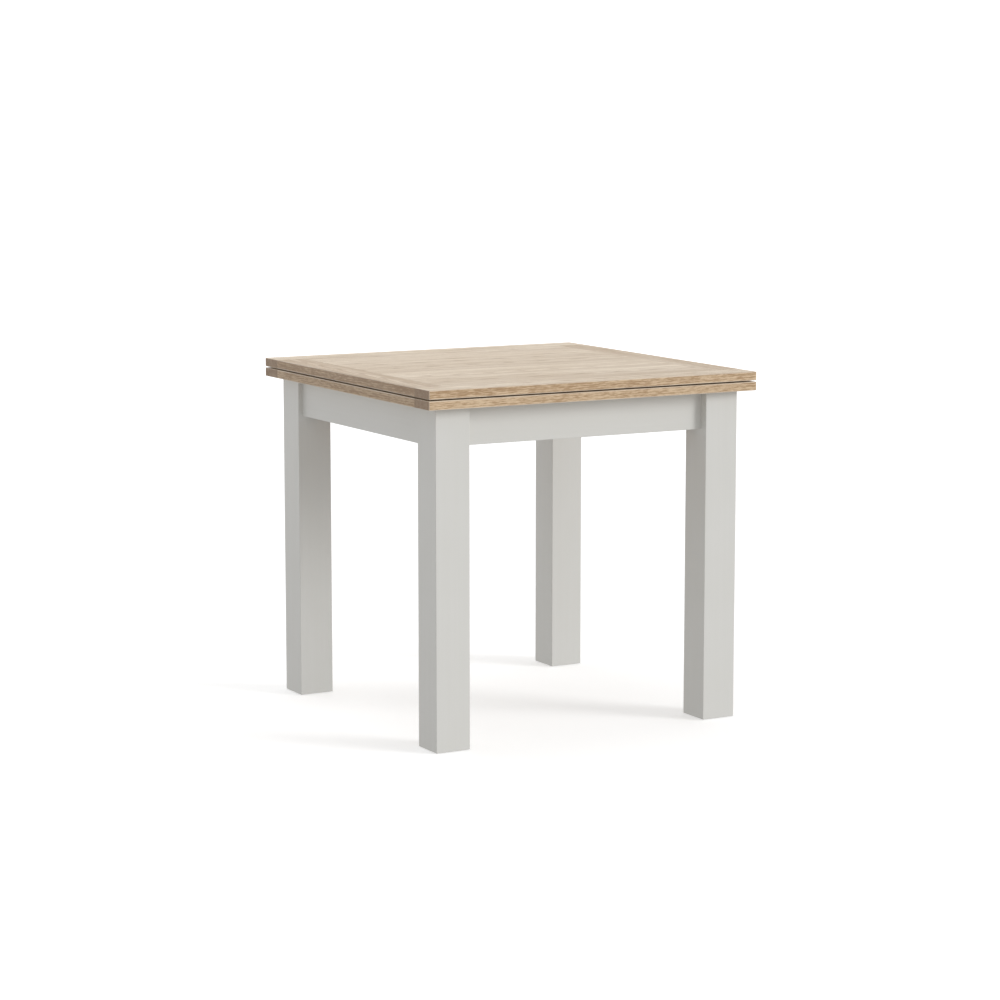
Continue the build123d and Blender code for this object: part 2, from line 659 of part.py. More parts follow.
def runner(sy):
    """A runner under the lower leaf, with the tongue that slides in a rail's groove."""
    low, high = RUNNER_START_X, RUNNER_END_X
    bar = block((low, high), (sy * RUNNER_IN, sy * RUNNER_OUT), (RUNNER_BOTTOM, LOWER_LEAF_Z))
    tongue_out = RAIL_IN + GROOVE_DEPTH - RUNNER_SIDE_CLEARANCE
    bar += block(
        (low, high),
        (sy * RUNNER_OUT, sy * tongue_out),
        (GROOVE_BOTTOM + TONGUE_CLEARANCE, GROOVE_TOP - TONGUE_CLEARANCE),
    )
    bottom_ends = [e for e in bar.edges().filter_by(Axis.Y) if abs(e.center().Z - RUNNER_BOTTOM) < NEAR]
    bar = chamfer(bottom_ends, RUNNER_END_CHAMFER)
    return drilled(bar, WOOD_SCREW, runner_screws(sy), entry=RAIL_HEIGHT)


def leaf_pad(x, y):
    """A small felt pad on the lower leaf that keeps the folded leaves apart."""
    thickness = LEAF_GAP - PAD_CLEARANCE
    return rod((x, y, LOWER_LEAF_Z + LEAF_THICKNESS), (0, 0, 1), PAD_RADIUS, thickness)


def build_lower_leaf():
    """The leaf that slides on the base, with its runners and pads."""
    bottom = LOWER_LEAF_Z
    slab = eased_slab(bottom)
    centre = panel(slab, bottom)
    for sy in (-1, 1):
        centre = drilled(centre, WOOD_SCREW, runner_screws(sy))
    save("lower_leaf_panel", centre)
    save("lower_leaf_border_front", long_border(slab, bottom, -1))
    save("lower_leaf_border_back", long_border(slab, bottom, 1))
    save("lower_leaf_border_left", end_border(slab, bottom, -1))
    save("lower_leaf_border_right", hinged_border(slab, bottom, -1))
    save("runner_front", runner(-1))
    save("runner_back", runner(1))
    save("runner_screws", *screws(WOOD_SCREW, runner_screws(-1) + runner_screws(1)))
    save("hinge_screws_lower", *screws(HINGE_SCREW, hinge_screws(-1)))
    pad_y = HALF_WIDTH - PAD_INSET
    pad_xs = (PAD_INSET - HALF_LENGTH, 0)
    save("leaf_pads", *[leaf_pad(x, y) for x in pad_xs for y in (-pad_y, pad_y)])


def build_upper_leaf():
    """The leaf that turns over."""
    bottom = UPPER_LEAF_Z
    slab = eased_slab(bottom)
    save("upper_leaf_panel", panel(slab, bottom))
    save("upper_leaf_border_front", long_border(slab, bottom, -1))
    save("upper_leaf_border_back", long_border(slab, bottom, 1))
    save("upper_leaf_border_left", end_border(slab, bottom, -1))
    save("upper_leaf_border_right", hinged_border(slab, bottom, 1))
    save("hinge_screws_upper", *screws(HINGE_SCREW, hinge_screws(1)))


# ---------------------------------------------------------------- the hinges
def knuckle_spans(y):
    """The (from, to) span along Y of each knuckle of the hinge centred at y."""
    pitch = HINGE_LENGTH / KNUCKLE_COUNT
    start = y - HINGE_LENGTH / 2
    return [
        (start + n * pitch + KNUCKLE_GAP / 2, start + (n + 1) * pitch - KNUCKLE_GAP / 2)
        for n in range(KNUCKLE_COUNT)
    ]


def barrel(span, radius, grown=0.0):
    """A cylinder on the hinge axis over a span, lengthened at both ends by grown."""
    return rod((HINGE_X, span[0] - grown, HINGE_Z), (0, 1, 0), radius, span[1] - span[0] + 2 * grown)


def hinge_plate(y, side):
    """One plate of a butt hinge: side is -1 for the lower leaf, with the odd knuckles, or 1 for the upper."""
    half = HINGE_LENGTH / 2
    far = HINGE_Z + side * (LEAF_GAP / 2 + PLATE_HEIGHT)
    plate = block((HALF_LENGTH - PLATE_THICKNESS, HALF_LENGTH), (y - half, y + half), (HINGE_Z, far))
    corners = [e for e in plate.edges().filter_by(Axis.X) if abs(e.center().Z - far) < NEAR]
    plate = fillet(corners, PLATE_CORNER_ROUND)
    spans = knuckle_spans(y)
    own, other = (spans[0::2], spans[1::2]) if side < 0 else (spans[1::2], spans[0::2])
    for span in other:
        plate -= barrel(span, BARREL_RADIUS + KNUCKLE_GAP, grown=KNUCKLE_GAP)
    for span in own:
        plate += barrel(span, BARREL_RADIUS)
    bore = PIN_RADIUS if side < 0 else PIN_RADIUS + PIN_CLEARANCE
    plate -= barrel((y - half, y + half), bore, grown=CUT_PAST)
    return drilled(plate, HINGE_SCREW, hinge_screws(side))


def hinge_pin(y):
    """The pin, tight in the lower plate's knuckles and free in the upper plate's."""
    span = (y - HINGE_LENGTH / 2 + KNUCKLE_GAP / 2, y + HINGE_LENGTH / 2 - KNUCKLE_GAP / 2)
    return barrel(span, PIN_RADIUS)


def build_hinges():
    """The hinges along the +X edge of the leaves."""
    for name, y in zip(HINGE_NAMES, HINGE_YS):
        save(f"hinge_plate_lower_{name}", hinge_plate(y, -1))
        save(f"hinge_plate_upper_{name}", hinge_plate(y, 1))
        save(f"hinge_pin_{name}", hinge_pin(y))


os.makedirs("parts", exist_ok=True)
build_base()
build_lower_leaf()
build_upper_leaf()
build_hinges()
print(f"slide travel {SLIDE_TRAVEL:.2f}, hinge axis x {HINGE_X:.2f}, z {HINGE_Z:.2f}")
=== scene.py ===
"""Looks for the flip-top extending table: limed oak leaves on a pale grey painted base, in a white studio.

Every wooden board gets its own cut of timber. The wood is a solid pattern with growth rings round a
heart line, so a board's face, edge and end match, as they do in a board sawn from one log.
"""

import math

import bpy
import numpy as np
from mathutils import Matrix, Vector


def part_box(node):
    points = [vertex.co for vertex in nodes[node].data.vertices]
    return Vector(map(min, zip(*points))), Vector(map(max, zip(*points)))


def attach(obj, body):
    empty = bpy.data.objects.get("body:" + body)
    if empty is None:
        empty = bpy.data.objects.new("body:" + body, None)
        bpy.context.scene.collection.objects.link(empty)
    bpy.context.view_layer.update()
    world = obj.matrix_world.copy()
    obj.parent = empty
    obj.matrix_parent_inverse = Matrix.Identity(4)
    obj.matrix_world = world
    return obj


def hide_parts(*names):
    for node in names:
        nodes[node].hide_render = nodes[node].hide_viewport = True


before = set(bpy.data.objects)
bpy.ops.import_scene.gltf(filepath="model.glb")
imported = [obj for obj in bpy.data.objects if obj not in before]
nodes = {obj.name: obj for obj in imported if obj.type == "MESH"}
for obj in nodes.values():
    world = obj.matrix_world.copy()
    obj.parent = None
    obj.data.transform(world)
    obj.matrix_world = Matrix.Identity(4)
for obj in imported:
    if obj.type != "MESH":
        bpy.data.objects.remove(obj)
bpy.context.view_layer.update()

# ---------------------------------------------------------------- values of the studio
CAMERA_PLACE = (-3.0941, -5.5412, 1.3927)
CAMERA_YAW = -29.076  # degrees, turned right from +Y
CAMERA_PITCH = -8.348  # degrees, tilted down
CAMERA_LENS = 103.5

TABLE_MIDDLE = (0, 0, 0.45)  # where the lights are aimed
KEY_PLACE = (4.0, -4.0, 2.35)
KEY_STRENGTH = 1.69
KEY_ANGLE = 24  # degrees, as wide as the key light looks from the table
OVERHEAD_PLACE = (-0.4, 0.9, 4.2)
OVERHEAD_STRENGTH = 28
OVERHEAD_SIZE = 2.6
SKY_LIGHT = 0.605

FLOOR_GLOW = 0.33
WALL_GLOW = 0.55
GLOW_NEAR = 2.2  # metres from the table where the floor's glow starts to rise to the wall's
GLOW_FAR = 6.0
COVE_RADIUS = 14.0
COVE_ROUND = 4.0
COVE_HEIGHT = 9.0
COVE_RINGS = 48
COVE_SPOKES = 96
FLOOR_SHARE = 0.4  # of the cove's profile, the flat floor
ROUND_SHARE = 0.4  # and the quarter circle; the wall takes the rest

# ---------------------------------------------------------------- the leg bolts' threads
BOLT_RADIUS = 0.004
MACHINE_THREAD = 0.020  # how far the machine thread runs from the bolt's outer end
MACHINE_PITCH = 0.00125
MACHINE_DEPTH = 0.00065
WOOD_THREAD = 0.048  # and how far the wood thread runs from its point
WOOD_PITCH = 0.0034
WOOD_DEPTH = 0.0011
END_CHAMFER = 0.0008
POINT_RADIUS = 0.0006
POINT_SLOPE = 0.5  # how fast the radius grows back from the point, in metres per metre
THREAD_STEPS = 8  # along one pitch
THREAD_SPOKES = 20

# ---------------------------------------------------------------- places on the leaves, from the frame
HALF_PANEL = -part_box("upper_leaf_border_left")[1].x
STAVE_COUNT = 7
STAVE = 2 * HALF_PANEL / STAVE_COUNT
JOINT_HALF_WIDTH = 0.0007
RIM_NEAR = 0.0008  # how far the painted highlight rim reaches in from a face, at full strength
RIM_FAR = 0.0026  # and where it has faded out


def shade(red, green, blue):
    """A colour given as 0 to 255 on a screen, as the linear light that Blender works in."""
    light = []
    for value in (red, green, blue):
        part = value / 255
        light.append(part / 12.92 if part <= 0.04045 else ((part + 0.055) / 1.055) ** 2.4)
    return (*light, 1.0)


# ---------------------------------------------------------------- building materials
class Value:
    """A number that changes over a surface. It wraps a socket, and arithmetic on it adds Math nodes."""

    def __init__(self, finish, socket):
        self.finish = finish
        self.socket = socket

    def math(self, operation, *others):
        """This value and the others, put through one Math node."""
        return self.finish.node("ShaderNodeMath", {"operation": operation}, dict(enumerate((self, *others))))

    def __add__(self, other):
        return self.math("ADD", other)

    __radd__ = __add__

    def __sub__(self, other):
        return self.math("SUBTRACT", other)

    def __rsub__(self, other):
        return (self * -1) + other

    def __mul__(self, other):
        return self.math("MULTIPLY", other)

    __rmul__ = __mul__

    def __truediv__(self, other):
        return self.math("DIVIDE", other)

    def __abs__(self):
        return self.math("ABSOLUTE")

    def clear(self, low, high):
        """0 up to low, 1 from high on, and a smooth rise between them."""
        sockets = {"Value": self, "From Min": low, "From Max": high}
        return self.finish.node("ShaderNodeMapRange", {"interpolation_type": "SMOOTHSTEP"}, sockets)


class Finish:
    """One material, built node by node."""

    def __init__(self, name):
        self.material = bpy.data.materials.new(name)
        self.material.use_nodes = True
        self.tree = self.material.node_tree
        self.tree.nodes.clear()

    def node(self, kind, settings, sockets, out=0):
        """Adds a node: its settings first, then the values or links of its sockets.

        Gives one of its outputs, or nothing for a node that has none.
        """
        made = self.tree.nodes.new(kind)
        for name, value in settings.items():
            setattr(made, name, value)
        for name, value in sockets.items():
            if isinstance(value, Value):
                self.tree.links.new(value.socket, made.inputs[name])
            else:
                made.inputs[name].default_value = value
        return Value(self, made.outputs[out]) if made.outputs else None

    def place(self, *sizes):
        """The point on the piece, in metres, stretched by a number along each of X, Y and Z."""
        point = self.node("ShaderNodeTexCoord", {}, {}, "Object")
        return self.node("ShaderNodeVectorMath", {"operation": "MULTIPLY"}, {0: point, 1: sizes})

    def turned(self, vector, degrees):
        """A vector as it reads on axes turned by that many degrees about Z."""
        if not degrees:
            return vector
        sockets = {"Vector": vector, "Angle": -math.radians(degrees)}
        return self.node("ShaderNodeVectorRotate", {"rotation_type": "Z_AXIS"}, sockets)

    def split(self, vector):
        """The three parts of a vector."""
        parts = self.node("ShaderNodeSeparateXYZ", {}, {0: vector}).socket.node
        return [Value(self, socket) for socket in parts.outputs]

    def join(self, x, y, z):
        """A vector made of three values."""
        return self.node("ShaderNodeCombineXYZ", {}, {0: x, 1: y, 2: z})

    def noise(self, vector, scale=1.0, detail=2.0, rough=0.5):
        """Soft noise from 0 to 1, even about one half."""
        sockets = {"Vector": vector, "Scale": scale, "Detail": detail, "Roughness": rough}
        return self.node("ShaderNodeTexNoise", {}, sockets)

    def mix(self, share, first, second, way="MIX"):
        """Two colours mixed: all first at 0, all second at 1."""
        settings = {"data_type": "RGBA", "blend_type": way}
        return self.node("ShaderNodeMix", settings, {0: share, 6: first, 7: second}, 2)

    def bump(self, height, strength, distance):
        """A normal tilted by a height that changes over the surface."""
        sockets = {"Strength": strength, "Distance": distance, "Height": height}
        return self.node("ShaderNodeBump", {}, sockets, "Normal")

    def surface(self, **sockets):
        """Ends the material in a Principled shader with those sockets, spaces written as underscores."""
        named = {name.replace("_", " "): value for name, value in sockets.items()}
        shader = self.node("ShaderNodeBsdfPrincipled", {}, named)
        self.node("ShaderNodeOutputMaterial", {}, {"Surface": shader})
        return self.material


# ---------------------------------------------------------------- timber
# for each way that a grain can run: the axis along it, the axis across it, and the axis through the piece
AXES = {"X": (0, 1, 2), "Y": (1, 0, 2), "Z": (2, 0, 1)}

# noise in the wood: how many per metre along the grain and across it, its detail and its roughness
WANDER = (1.1, 7.0, 2.0, 0.5)
STREAKS = {
    "broad": (1.4, 24.0, 3.0, 0.55),
    "medium": (3.0, 110.0, 3.0, 0.6),
    "fine": (18.0, 330.0, 3.0, 0.65),
    "fleck": (60.0, 680.0, 4.0, 0.66),
    "pores": (70.0, 2100.0, 1.0, 0.5),
}
# where each noise starts to count, and where it counts fully
LIMITS = {
    "broad": (0.30, 0.70),
    "medium": (0.34, 0.66),
    "fine": (0.30, 0.70),
    "fleck": (0.39, 0.61),
    "pores": (0.60, 0.74),
}
# how much each of them darkens the wood, from all pale at 0 to all deep at 1
BROAD_SHARE = 0.18
MEDIUM_SHARE = 0.26
FINE_SHARE = 0.18
RING_SHARE = 0.34
FLECK_SHARE = 0.22
EDGE_FLECK_SHARE = 0.62  # an edge gets this much more
EDGE_FINE_SHARE = 0.30
WOOD_TONE = 0.05
# how strongly the dark pores, the pale painted highlight and the dark joints show
PORE_STRENGTH = 0.55
HIGHLIGHT_STRENGTH = 0.30
JOINT_STRENGTH = 0.45

STAVE_SHIFT = 0.8  # how widely the staves' hearts lie about their middles, as a share of a stave
STAVE_LEAN = 0.07  # and how widely their heart lines tilt, in metres per metre
STAVE_TONE = 0.20
BOARD_SHIFT = 0.015  # how far a board's heart may lie off its middle, in metres
BOARD_LEAN = 0.03

# edge darkens the edges of a board that runs along X, partly their own deeper tone and partly painted shade,
# so the top reads paler as if sheened; side darkens those of any other board further, as painted shade on the
# edges that face left and right; end tints the end grain; ring is the width of a growth ring, heart is how
# far the heart line lies below the piece's top, and wander is how far the rings are pushed about, all in
# metres
OAK = {
    "name": "oak",
    "pale": shade(228, 213, 191),
    "deep": shade(177, 152, 122),
    "pore": shade(112, 90, 70),
    # the pale colour of the painted highlight along eased edges, where light would catch them
    "highlight": shade(228, 218, 204),
    # edge and side: darker tints of the edges, partly the wood's own deeper tone and partly painted shade;
    # side, on the edges that face left and right, is painted shade
    "edge": (0.82, 0.72, 0.60, 1.0),
    "side": (0.59, 0.49, 0.37, 1.0),
    "end": (0.46, 0.40, 0.34, 1.0),
    "ring": 0.0031,
    "heart": 0.042,
    "wander": 0.012,
    "roughness": 0.50,
}
BEECH = {
    "name": "beech",
    "pale": shade(214, 182, 142),
    "deep": shade(186, 148, 108),
    "pore": shade(140, 102, 70),
    # the pale colour of the painted highlight along eased edges
    "highlight": shade(222, 194, 156),
    "edge": (1.0, 1.0, 1.0, 1.0),
    "side": (1.0, 1.0, 1.0, 1.0),
    "end": (0.80, 0.74, 0.68, 1.0),
    "ring": 0.0030,
    "heart": 0.09,
    "wander": 0.006,
    "roughness": 0.55,
}


def log_cut(finish, wood, node, grain, seed, tone, stave, turn):
    """Where the piece was sawn from its log: the point in the log, the distance from its heart, and the tone.

    The heart line runs nearly along the grain, below the piece's top. Each stave of a glued board has its
    own heart, start, lean and tone. The factors on the seed only keep the pieces' cuts apart.
    """
    point = finish.split(finish.turned(finish.place(1, 1, 1), turn))
    along, across, depth = [point[n] for n in AXES[grain]]
    lowest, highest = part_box(node)
    if stave:
        strip = (across / stave + 0.5).math("FLOOR")
        chance = finish.node("ShaderNodeTexWhiteNoise", {"noise_dimensions": "1D"}, {"W": strip + seed})
        middle = (strip + (chance - 0.5) * STAVE_SHIFT) * stave
        start = along + chance * 7.0
        lean = (chance - 0.5) * STAVE_LEAN
        tone = (chance - 0.5) * STAVE_TONE + tone
    else:
        middle = BOARD_SHIFT * math.sin(seed * 2.3)
        if not turn:
            middle += ((lowest + highest) / 2)[AXES[grain][1]]
        start = along + seed * 1.7
        lean = BOARD_LEAN * math.sin(seed * 4.1)
    side = across - middle
    below = depth + (wood["heart"] - highest.z) + along * lean
    radius = (side * side + below * below).math("SQRT")
    point_in_log = finish.join(start, across + seed * 0.61, depth + seed * 0.37)
    return point_in_log, radius, tone


def drawn_noise(finish, point, long, fine, detail, rough):
    """Noise drawn out along the grain, with that many per metre along it and across it."""
    sizes = (long, fine, fine)
    scaled = finish.node("ShaderNodeVectorMath", {"operation": "MULTIPLY"}, {0: point, 1: sizes})
    return finish.noise(scaled, 1.0, detail, rough)


def rim_and_joint(finish, node):
    """How strong the painted highlight is on a leaf board's edge beside its faces, and how dark the joints
    with its neighbours are.
    """
    x, y, z = finish.split(finish.place(1, 1, 1))
    lowest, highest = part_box(node)
    inward = (highest.z - lowest.z) / 2 - abs(z - (lowest.z + highest.z) / 2)
    rim = 1 - inward.clear(RIM_NEAR, RIM_FAR)
    off_x = abs(abs(x) - HALF_PANEL) + (abs(y) - HALF_PANEL).math("MAXIMUM", 0.0)
    off_y = abs(abs(y) - HALF_PANEL)
    joint = 1 - off_x.math("MINIMUM", off_y).clear(JOINT_HALF_WIDTH * 0.4, JOINT_HALF_WIDTH * 1.6)
    return rim, joint


def timber(wood, node, grain, seed, tone=0.0, stave=0.0, turn=0.0):
    """Solid wood for a piece, with its grain along X, Y or Z, turned by some degrees about Z.

    The rings are cylinders round a heart line, pushed about by slow noise, so a face shows long flames, an
    edge shows fine lines and an end shows arcs. Edges are darker than faces, partly their own tone and partly
    painted shade, and eased edges get a pale painted highlight. The oak boards of the leaves also have a pale
    painted highlight rim along their eased edges, and a fine dark line in the joints of their faces.
    """
    finish = Finish(f"{wood['name']} {node}")
    normal = finish.node("ShaderNodeTexCoord", {}, {}, "Normal")
    facing = finish.split(finish.turned(normal, turn))
    end_face, side_face, flat_face = [abs(facing[n]) for n in AXES[grain]]
    on_flat = flat_face.clear(0.35, 0.80)
    on_end = end_face.clear(0.60, 0.90)
    on_edge = (1 - on_flat) * (1 - on_end)

    cut, radius, board_tone = log_cut(finish, wood, node, grain, seed, tone, stave, turn)
    streaks = {name: drawn_noise(finish, cut, *row).clear(*LIMITS[name]) for name, row in STREAKS.items()}
    medium = streaks["medium"]
    fine = streaks["fine"]
    wander = (drawn_noise(finish, cut, *WANDER) - 0.5) * wood["wander"]
    ring = ((radius + wander) / wood["ring"]).math("FRACT")
    early = ring.clear(0.02, 0.10) * (1 - ring.clear(0.22, 0.62))
    pores = streaks["pores"] * (0.25 + early * 0.75)

    darker = BROAD_SHARE * streaks["broad"] + MEDIUM_SHARE * medium + FINE_SHARE * fine
    darker = darker + RING_SHARE * early + board_tone + WOOD_TONE
    darker = darker + (streaks["fleck"] - 0.5) * (FLECK_SHARE + on_edge * EDGE_FLECK_SHARE)
    darker = darker + (fine - 0.5) * on_edge * EDGE_FINE_SHARE
    colour = finish.mix(darker.clear(0.0, 1.0), wood["pale"], wood["deep"])
    colour = finish.mix(pores * PORE_STRENGTH, colour, wood["pore"])
    # painted shade: edges darkened by the edge or side tint, partly the wood's own deeper tone
    colour = finish.mix(1 - on_flat, colour, wood["edge" if grain == "X" else "side"], "MULTIPLY")
    colour = finish.mix(on_end, colour, wood["end"], "MULTIPLY")
    # painted highlight: eased edges, and the rims of the oak leaves' edges, mixed toward a pale colour as if
    # catching the light
    eased = (flat_face * (1 - flat_face) + end_face * side_face).clear(0.08, 0.20)
    highlight_share = eased * HIGHLIGHT_STRENGTH
    if wood is OAK:
        rim, joint = rim_and_joint(finish, node)
        highlight_share = highlight_share + rim * on_edge * HIGHLIGHT_STRENGTH
        colour = finish.mix(joint * on_flat * JOINT_STRENGTH, colour, wood["pore"])
    colour = finish.mix(highlight_share, colour, wood["highlight"])
    height = (1 - pores) * 0.6 + fine * 0.3 + medium * 0.2
    return finish.surface(
        Base_Color=colour,
        Roughness=wood["roughness"] + (medium - 0.5) * 0.10 + pores * 0.15,
        Normal=finish.bump(height, 0.35, 0.0003),
        Specular_IOR_Level=0.5,
    )


# ---------------------------------------------------------------- paint, metal and soft parts
BRUSH_ALONG = 6.0  # brush strokes per metre along the board and across it
BRUSH_ACROSS = 420.0
WOOD_ALONG = 2.2  # and the grain under the paint
WOOD_ACROSS = 95.0


def painted(name, grain, seed):
    """Satin paint brushed on along a board, with the grain of the wood just showing through."""
    finish = Finish(name)
    long = AXES[grain][0]
    brush_sizes = [BRUSH_ALONG if n == long else BRUSH_ACROSS for n in range(3)]
    wood_sizes = [WOOD_ALONG if n == long else WOOD_ACROSS for n in range(3)]
    brush = finish.noise(finish.place(*brush_sizes), 1.0, 3.0, 0.6)
    wood = finish.noise(finish.place(*wood_sizes), 1.0, 3.0, 0.55)
    peel = finish.noise(finish.place(1, 1, 1), 900.0, 1.0)
    cloud = finish.noise(finish.place(1, 1, 1), 3.1 + seed * 0.13, 2.0)
    tone = (0.45 * cloud + 0.35 * wood + 0.2 * brush).clear(0.25, 0.75)
    colour = finish.mix(tone, shade(210, 209, 205), shade(207, 206, 201))
    return finish.surface(
        Base_Color=colour,
        Roughness=0.42 + (wood - 0.5) * 0.08 + (cloud - 0.5) * 0.06,
        Normal=finish.bump(brush * 0.5 + wood * 0.5 + peel * 0.2, 0.12, 0.00015),
        Specular_IOR_Level=0.45,
    )


def brass(name, bright, dull):
    """Satin brass with fine lines brushed along the hinge, and a faint cloud of tarnish."""
    finish = Finish(name)
    lines = finish.noise(finish.place(3200.0, 45.0, 3200.0), 1.0, 2.0)
    tarnish = finish.noise(finish.place(1, 1, 1), 55.0, 3.0)
    colour = finish.mix(tarnish.clear(0.35, 0.75) * 0.5 + lines * 0.25, bright, dull)
    return finish.surface(
        Base_Color=colour,
        Metallic=1.0,
        Roughness=0.27 + lines * 0.10 + tarnish * 0.08,
        Normal=finish.bump(lines, 0.12, 0.0001),
    )


def zinc():
    """Zinc-plated steel with its faint blue and yellow mottle."""
    finish = Finish("zinc-plated steel")
    spangle = finish.noise(finish.place(1, 1, 1), 320.0, 3.0, 0.6)
    patch = finish.noise(finish.place(1, 1, 1), 70.0, 2.0)
    colour = finish.mix(patch.clear(0.35, 0.65), shade(188, 192, 196), shade(196, 190, 172))
    return finish.surface(
        Base_Color=colour,
        Metallic=1.0,
        Roughness=0.28 + spangle * 0.22,
        Normal=finish.bump(spangle, 0.12, 0.0001),
    )


def nylon():
    """Moulded off-white nylon, a little scuffed."""
    finish = Finish("moulded nylon")
    grit = finish.noise(finish.place(1, 1, 1), 900.0, 3.0, 0.6)
    scuff = finish.noise(finish.place(1, 1, 1), 120.0, 4.0, 0.65)
    colour = finish.mix(scuff.clear(0.45, 0.75), shade(226, 223, 214), shade(196, 191, 180))
    return finish.surface(
        Base_Color=colour,
        Roughness=0.42 + scuff * 0.25,
        Normal=finish.bump(grit * 0.4 + scuff, 0.2, 0.0002),
    )


def felt(name, pale, deep):
    """Pressed wool felt: short fibres lying every way, over soft clouds of tone."""
    finish = Finish(name)
    fibres = finish.noise(finish.place(1, 1, 1), 1900.0, 4.0, 0.75)
    cloud = finish.noise(finish.place(1, 1, 1), 210.0, 3.0)
    colour = finish.mix((fibres * 0.6 + cloud * 0.4).clear(0.35, 0.65), pale, deep)
    return finish.surface(
        Base_Color=colour,
        Roughness=0.95,
        Normal=finish.bump(fibres, 0.6, 0.0004),
        Sheen_Weight=0.35,
        Sheen_Roughness=0.6,
    )


def rubber():
    """Black rubber with a fine moulded grain and a little bloom."""
    finish = Finish("black rubber")
    grain = finish.noise(finish.place(1, 1, 1), 1200.0, 3.0, 0.6)
    bloom = finish.noise(finish.place(1, 1, 1), 90.0, 3.0)
    colour = finish.mix(bloom.clear(0.40, 0.75), shade(34, 34, 35), shade(62, 61, 60))
    return finish.surface(
        Base_Color=colour,
        Roughness=0.62 + bloom * 0.2,
        Normal=finish.bump(grain, 0.25, 0.0002),
    )


# ---------------------------------------------------------------- which piece has which finish
def dress(node, material):
    """Gives a CAD piece its finish."""
    for slot in nodes[node].material_slots:
        slot.material = material


# a leaf's seed, and how much darker than the panel each of its border boards is
LEAVES = {
    "upper_leaf": {"seed": 3.3, "front": 0.0, "back": -0.08, "left": 0.36, "right": 0.22},
    "lower_leaf": {"seed": 14.3, "front": -0.06, "back": 0.05, "left": -0.02, "right": 0.06},
}
for leaf, tones in LEAVES.items():
    panel = f"{leaf}_panel"
    seed = tones["seed"]
    dress(panel, timber(OAK, panel, "X", seed, stave=STAVE))
    for number, side in enumerate(("front", "back", "left", "right")):
        board = f"{leaf}_border_{side}"
        grain = "X" if side in ("front", "back") else "Y"
        dress(board, timber(OAK, board, grain, seed + 2.4 + 1.9 * number, tones[side]))

for number, node in enumerate(sorted(nodes)):
    if node.startswith("leg_") and not node.startswith("leg_bolt"):
        dress(node, painted(f"paint {node}", "Z", number))
    elif node.startswith("apron_"):
        run = "X" if node.endswith(("front", "back")) else "Y"
        dress(node, painted(f"paint {node}", run, number))
    elif node.startswith(("slide_rail", "runner_front", "runner_back")):
        dress(node, timber(BEECH, node, "X", 1.3 * number))
    elif node == "cross_rail":
        dress(node, timber(BEECH, node, "Y", 1.3 * number))
    elif node.startswith(("corner_block_front", "corner_block_back")):
        # a corner block lies across its corner, and its grain runs along it
        turn = -45 if node.endswith(("front_left", "back_right")) else 45
        dress(node, timber(BEECH, node, "X", 1.3 * number, turn=turn))

hinge_brass = brass("satin brass", shade(218, 188, 128), shade(176, 142, 84))
screw_brass = brass("brass screws", shade(190, 156, 98), shade(150, 118, 70))
zinc_finish = zinc()
nylon_finish = nylon()
strip_felt = felt("grey felt", shade(150, 144, 134), shade(112, 106, 98))
pad_felt = felt("brown felt", shade(150, 128, 102), shade(116, 96, 74))
rubber_finish = rubber()
for node in nodes:
    if node.endswith("dowels"):
        dress(node, timber(BEECH, node, "Y" if node.startswith("cross") else "X", 2.0))
    elif node.startswith("hinge_screws"):
        dress(node, screw_brass)
    elif node.startswith("hinge"):
        dress(node, hinge_brass)
    elif node.startswith("leg_bolt") or node.endswith(("_screws", "_nails")):
        dress(node, zinc_finish)
    elif node.startswith("foot_glide"):
        dress(node, nylon_finish)
    elif node.startswith("glide_strip"):
        dress(node, strip_felt)
dress("leaf_pads", pad_felt)
dress("slide_stops", rubber_finish)


# ---------------------------------------------------------------- threads on the leg bolts
def closed_tube(rings, start, end):
    """The points and faces of rings joined in order, each ring a loop, with a fan to a pole at each end."""
    rows, spokes, _ = rings.shape
    row, spoke = np.meshgrid(np.arange(rows - 1), np.arange(spokes), indexing="ij")
    after = (spoke + 1) % spokes
    sides = np.stack([row * spokes + spoke, row * spokes + after], axis=-1)
    sides = np.concatenate([sides, sides[..., ::-1] + spokes], axis=-1).reshape(-1, 4)
    first = np.arange(spokes)
    second = (first + 1) % spokes
    start_fan = np.stack([np.full(spokes, rows * spokes), second, first], axis=-1)
    last = (rows - 1) * spokes
    end_fan = np.stack([np.full(spokes, rows * spokes + 1), last + first, last + second], axis=-1)
    points = np.concatenate([rings.reshape(-1, 3), [start, end]])
    return points, sides.tolist() + start_fan.tolist() + end_fan.tolist()


def bolt_places():
    """The (start, end) points of every leg bolt's axis, from the solids that the bolts replace."""
    mesh = nodes["leg_bolts"].data
    points = np.empty(3 * len(mesh.vertices))
    mesh.vertices.foreach_get("co", points)
    points = points.reshape(-1, 3)
    places = []
    for signs in ((-1, -1), (1, -1), (-1, 1), (1, 1)):
        mine = points[(points[:, :2] * signs > 0).all(axis=1)]
        out = np.array([*signs, 0]) / math.sqrt(2)
        across = np.array([-out[1], out[0], 0])
        reach = mine @ out
        offset = mine @ across
        middle = across * (offset.min() + offset.max()) / 2
        for height in (mine[:, 2].min() + BOLT_RADIUS, mine[:, 2].max() - BOLT_RADIUS):
            base = middle + [0, 0, height]
            places.append((base + out * reach.min(), base + out * reach.max()))
    return places


